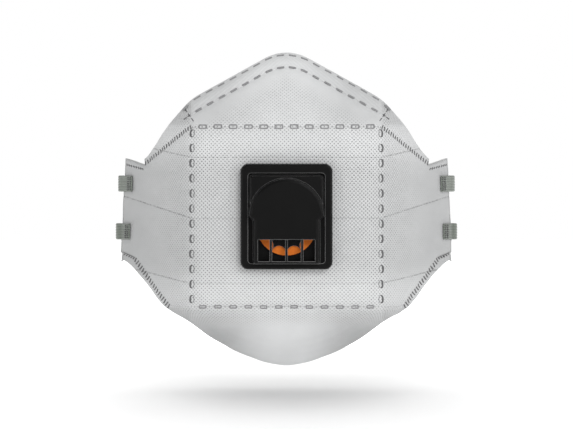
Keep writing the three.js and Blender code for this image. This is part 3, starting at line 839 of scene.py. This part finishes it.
# ---- Nose clip, its pocket and the foam ----
def nose_strip(name, half_width, below, profile, material):
    """A strip along the nose edge. profile gives its outer and inner depth across its width."""
    columns, rows = 120, 16
    station = np.linspace(-half_width, half_width, columns + 1)[:, None]
    share = np.linspace(0, 1, rows + 1)[None, :]
    edge = outline_at(NOSE_TOP, station, 3.0)
    z = edge - below[1] + (below[1] - below[0]) * share
    x = station + 0 * z
    normals = inward(x, z)
    base = np.stack([x, shell_y(x, z), z], axis=-1) + normals * relief(x, z)[..., None]
    end = smoothstep(half_width - np.abs(station), 0, 2.5)
    outer_depth, inner_depth = profile(share, end)
    outer = base + normals * outer_depth[..., None]
    inner = base + normals * inner_depth[..., None]
    count = (columns + 1) * (rows + 1)
    number = np.arange(count).reshape(columns + 1, rows + 1)
    a, b, c, d = number[:-1, :-1], number[1:, :-1], number[1:, 1:], number[:-1, 1:]
    quads = np.stack([a, b, c, d], -1).reshape(-1, 4)
    loop = [*number[:, 0], *number[-1, 1:], *number[-2::-1, -1], *number[0, -2:0:-1]]
    walls = [(p, p + count, q + count, q) for p, q in zip(loop, loop[1:] + loop[:1])]
    faces = quads.tolist() + (quads[:, ::-1] + count).tolist() + walls
    piece = new_piece(name, np.concatenate([outer.reshape(-1, 3), inner.reshape(-1, 3)]), faces,
                      material)
    cloth = np.stack([x, z, 99 + 0 * z], axis=-1).reshape(-1, 3)
    place = np.stack([x, z, 0 * z], axis=-1).reshape(-1, 3)
    add_attribute(piece, "cloth", np.tile(cloth, (2, 1)))
    add_attribute(piece, "place", np.tile(place, (2, 1)))
    return piece


def make_nose_parts():
    def pocket_profile(share, end):
        dome = (1 - (2 * share - 1) ** 2) ** 2 * end
        return -0.12 - 0.8 * dome, 0.25 - 0.35 * dome

    def foam_profile(share, end):
        dome = (1 - (2 * share - 1) ** 4) ** 0.5 * (1 - (1 - end) ** 3)
        return 2.75 + 0 * dome, 2.95 + 3.7 * dome

    def clip_profile(share, end):
        flat = 0 * share * end
        return flat - 0.5, flat - 0.15

    pocket = nose_strip("nose_clip_pocket_cloth", 42.0, (0.4, POCKET_DROP + 0.3), pocket_profile,
                        POCKET_LOOK)
    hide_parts("nose_clip_pocket")
    follow_nose(pocket)
    foam = nose_strip("nose_foam_pad", 38.0, (4.0, 13.0), foam_profile, FOAM_LOOK)
    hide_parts("nose_foam")
    follow_nose(foam)
    clip = nose_strip("nose_clip_strip", 39.5, (1.9, 4.9), clip_profile, CLIP_LOOK)
    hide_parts("nose_clip")
    follow_nose(clip)


make_nose_parts()


# ---- Straps ----
def smooth_path(points, step):
    """A centripetal Catmull-Rom curve through the points, sampled every step."""
    points = np.asarray(points, float)
    first = 2 * points[0] - points[1]
    last = 2 * points[-1] - points[-2]
    knots = np.vstack([first, points, last])
    path = []
    for p0, p1, p2, p3 in zip(knots, knots[1:], knots[2:], knots[3:]):
        t = np.cumsum([0.0] + [max(np.linalg.norm(b - a), 1e-6) ** 0.5
                               for a, b in ((p0, p1), (p1, p2), (p2, p3))])
        for s in np.linspace(t[1], t[2], 12, endpoint=False):
            def mix(a, b, low, high):
                return a + (b - a) * (s - low) / (high - low)
            a1, a2, a3 = mix(p0, p1, t[0], t[1]), mix(p1, p2, t[1], t[2]), mix(p2, p3, t[2], t[3])
            b1, b2 = mix(a1, a2, t[0], t[2]), mix(a2, a3, t[1], t[3])
            path.append(mix(b1, b2, t[1], t[2]))
    path = np.vstack([path, points[-1:]])
    length = np.concatenate([[0], np.cumsum(np.linalg.norm(np.diff(path, axis=0), axis=1))])
    at = np.linspace(0, length[-1], max(2, int(round(length[-1] / step))) + 1)
    return np.stack([np.interp(at, length, path[:, k]) for k in range(3)], axis=1), length[-1]


def strap_section():
    """Half-width and height of the ribbed cross-section, once round."""
    ribs = 6
    turn = np.linspace(0, 1, 37)
    across = (turn - 0.5) * STRAP_WIDTH
    wave = 0.5 + 0.5 * np.cos(2 * math.pi * ribs * turn + math.pi)
    round_end = np.sqrt(np.clip(1 - np.abs(2 * turn - 1) ** 10, 0, 1))
    height = STRAP_THICKNESS / 2 * (0.72 + 0.28 * wave) * np.maximum(round_end, 0.25)
    top = np.stack([across, height], 1)
    bottom = np.stack([across[::-1], -height[::-1]], 1)
    return np.vstack([top, bottom])


def ribbon_piece(name, path, across, material):
    """The ribbed strap along a path, its width lying along across."""
    tangent = unit(np.gradient(path, axis=0))
    across = unit(across - tangent * (across * tangent).sum(1, keepdims=True))
    face = np.cross(tangent, across)
    section = strap_section()
    rings = (path[:, None, :] + across[:, None, :] * section[None, :, :1]
             + face[:, None, :] * section[None, :, 1:])
    steps, around = rings.shape[:2]
    number = np.arange(steps * around).reshape(steps, around)
    following = np.roll(number, -1, axis=1)
    quads = np.stack([number[:-1], following[:-1], following[1:], number[1:]], -1).reshape(-1, 4)
    caps = [number[0][::-1].tolist(), number[-1].tolist()]
    faces = [list(f) for f in quads.tolist()] + caps
    piece = new_piece(name, rings.reshape(-1, 3), faces, material)
    run = np.concatenate([[0], np.cumsum(np.linalg.norm(np.diff(path, axis=0), axis=1))])
    cloth = np.stack([np.tile(section[:, 0], (steps, 1)), np.tile(run[:, None], (1, around)),
                      np.zeros((steps, around))], -1).reshape(-1, 3)
    add_attribute(piece, "cloth", cloth)
    return piece


def make_strap(name, route, top_z):
    right = [(x, STRAP_BACK_Y, top_z - drop) for x, drop in route]
    left = [(-x, y, z) for x, y, z in right[:-1][::-1]]
    path, length = smooth_path(right + left, 1.0)
    tangent = unit(np.gradient(path, axis=0))
    share = np.linspace(0, 1, len(path))
    turn = smoothstep(np.minimum(share, 1 - share) / STRAP_TWIST_SHARE, 0, 1) * math.pi / 2
    backwards = np.array([0.0, 1.0, 0.0])
    upright = unit(np.cross(backwards, tangent))
    across = upright * np.cos(turn)[:, None] + backwards * np.sin(turn)[:, None]
    piece = ribbon_piece(f"{name}_elastic", path, across, ELASTIC_LOOK)
    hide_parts(name)
    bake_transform(piece)


def make_strap_end(side, side_name, level, top_z):
    """A welded end: on the front of the tab, round its edge and back behind it."""
    edge = tab_edge_x(top_z)

    def on_tab(past):
        x = edge + past
        normal = inward(np.array(x), np.array(top_z))
        return np.array([x, float(shell_y(x, top_z)), top_z]) - normal * (0.3 + STRAP_THICKNESS / 2)

    def behind(past, y):
        return np.array([edge + past, y, top_z])

    knots = [on_tab(-4), on_tab(-2.1), on_tab(-0.2), behind(1.7, -2.3), behind(2.3, 0),
             behind(2.2, 2.2), behind(1.5, 4.2), behind(0.2, STRAP_BACK_Y)]
    path, _ = smooth_path(knots, 0.4)
    path[:, 0] *= side
    across = np.tile([0.0, 0.0, 1.0], (len(path), 1))
    name = f"{level}_strap_end_{side_name}"
    piece = ribbon_piece(f"{name}_elastic", path, across, ELASTIC_LOOK)
    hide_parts(name)
    ride_root(piece)


make_strap("upper_strap", UPPER_ROUTE, UPPER_STRAP_Z)
make_strap("lower_strap", LOWER_ROUTE, LOWER_STRAP_Z)
for strap_side, strap_side_name in ((-1, "left"), (1, "right")):
    make_strap_end(strap_side, strap_side_name, "upper", UPPER_STRAP_Z)
    make_strap_end(strap_side, strap_side_name, "lower", LOWER_STRAP_Z)


# ---- Valve and other hard parts ----
def finish_cad_node(name, material, bevel_mm):
    """A CAD part keeps its shape and gets its material and softly rounded edges."""
    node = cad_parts[name]
    for slot in node.material_slots:
        slot.material = material
    if not node.material_slots:
        node.data.materials.append(material)
    modifier = node.modifiers.new("soft_edges", "BEVEL")
    modifier.width = bevel_mm * MM
    modifier.segments = 3
    modifier.limit_method = "ANGLE"
    modifier.angle_limit = math.radians(35)
    modifier.harden_normals = True


for node_name in ("valve_cover", "valve_seat", "valve_flap_plate", "valve_flap_clip",
                  "valve_backing_ring"):
    finish_cad_node(node_name, VALVE_LOOK, 0.2)
finish_cad_node("valve_flap", FLAP_LOOK, 0.15)


# ---- Studio ----
def make_floor():
    """A white floor that slopes down towards the camera under the mask, so its shadow shows."""
    reach, under = 3.0, 0.4
    low, high = -0.1458, -0.0598
    white = {"Emission_Color": (1.0, 1.0, 1.0, 1.0)}
    near = Graph("floor_under_mask").finish(grey(0.8), 0.9, Emission_Strength=0.05, **white)
    far = Graph("floor_beyond").finish(grey(0.8), 0.9, Emission_Strength=0.35, **white)
    behind = Graph("floor_behind").finish(grey(0.8), 0.9, Emission_Strength=0.9, **white)
    profile = ((-reach, low), (-0.36, low), (0.07, high), (reach, high))
    points = [(x, y, z) for y, z in profile for x in (-reach, -under, under, reach)]
    faces = [(4 * row + k, 4 * row + k + 1, 4 * row + k + 5, 4 * row + k + 4)
             for row in range(3) for k in range(3)]
    mesh = bpy.data.meshes.new("floor")
    mesh.from_pydata(points, [], faces)
    for look in (far, near, behind):
        mesh.materials.append(look)
    for polygon, look in zip(mesh.polygons, (0, 0, 0, 0, 1, 0, 2, 2, 2)):
        polygon.material_index = look
    floor = bpy.data.objects.new("floor", mesh)
    bpy.context.scene.collection.objects.link(floor)
    return floor


def floor_group(name, floor, state):
    """The floor by itself, as the only thing a light reaches or the only thing it leaves out."""
    group = bpy.data.collections.new(name)
    group.objects.link(floor)
    group.collection_objects[0].light_linking.link_state = state
    return group


def add_light(name, size, energy, location, reaches, target=(0, -0.02, 0)):
    data = bpy.data.lights.new(name, "AREA")
    data.shape = "RECTANGLE"
    data.size, data.size_y = size
    data.energy = energy
    light = bpy.data.objects.new(name, data)
    light.location = location
    direction = np.array(target) - np.array(location)
    yaw = math.atan2(direction[1], direction[0]) - math.pi / 2
    pitch = math.atan2(direction[2], math.hypot(direction[0], direction[1]))
    light.rotation_euler = (math.pi / 2 + pitch, 0, yaw)
    bpy.context.scene.collection.objects.link(light)
    light.light_linking.receiver_collection = reaches


def make_world():
    """White behind the mask and above it, dimmer in front of it."""
    world = bpy.data.worlds.new("studio")
    world.use_nodes = True
    tree = world.node_tree
    direction = tree.nodes.new("ShaderNodeTexCoord")
    towards = tree.nodes.new("ShaderNodeVectorMath")
    towards.operation = "DOT_PRODUCT"
    towards.inputs[1].default_value = (0.0, 0.8, 0.6)
    strength = tree.nodes.new("ShaderNodeMapRange")
    tree.links.new(direction.outputs["Generated"], towards.inputs[0])
    tree.links.new(towards.outputs["Value"], strength.inputs["Value"])
    for key, value in (("From Min", 0.1), ("From Max", 0.7), ("To Min", 0.45), ("To Max", 1.0)):
        strength.inputs[key].default_value = value
    background = tree.nodes["Background"]
    background.inputs["Color"].default_value = (1.0, 1.0, 1.0, 1.0)
    tree.links.new(strength.outputs["Result"], background.inputs["Strength"])
    bpy.context.scene.world = world


def light_everything():
    """The mask is lit from the front; the floor from above, for one soft shadow."""
    floor = make_floor()
    make_world()
    mask_only = floor_group("all_but_floor", floor, "EXCLUDE")
    floor_only = floor_group("only_floor", floor, "INCLUDE")
    add_light("key", (0.7, 0.7), 12.5, (0.55, -1.6, 0.75), mask_only)
    add_light("left_strip", (0.05, 0.5), 1.3, (-0.85, -0.85, 0.2), mask_only)
    add_light("right_strip", (0.05, 0.5), 1.3, (0.85, -0.85, 0.2), mask_only)
    add_light("overhead", (3.4, 2.2), 31.0, (0.0, 0.1, 1.2), floor_only)


light_everything()
bpy.context.scene.view_settings.view_transform = "Standard"
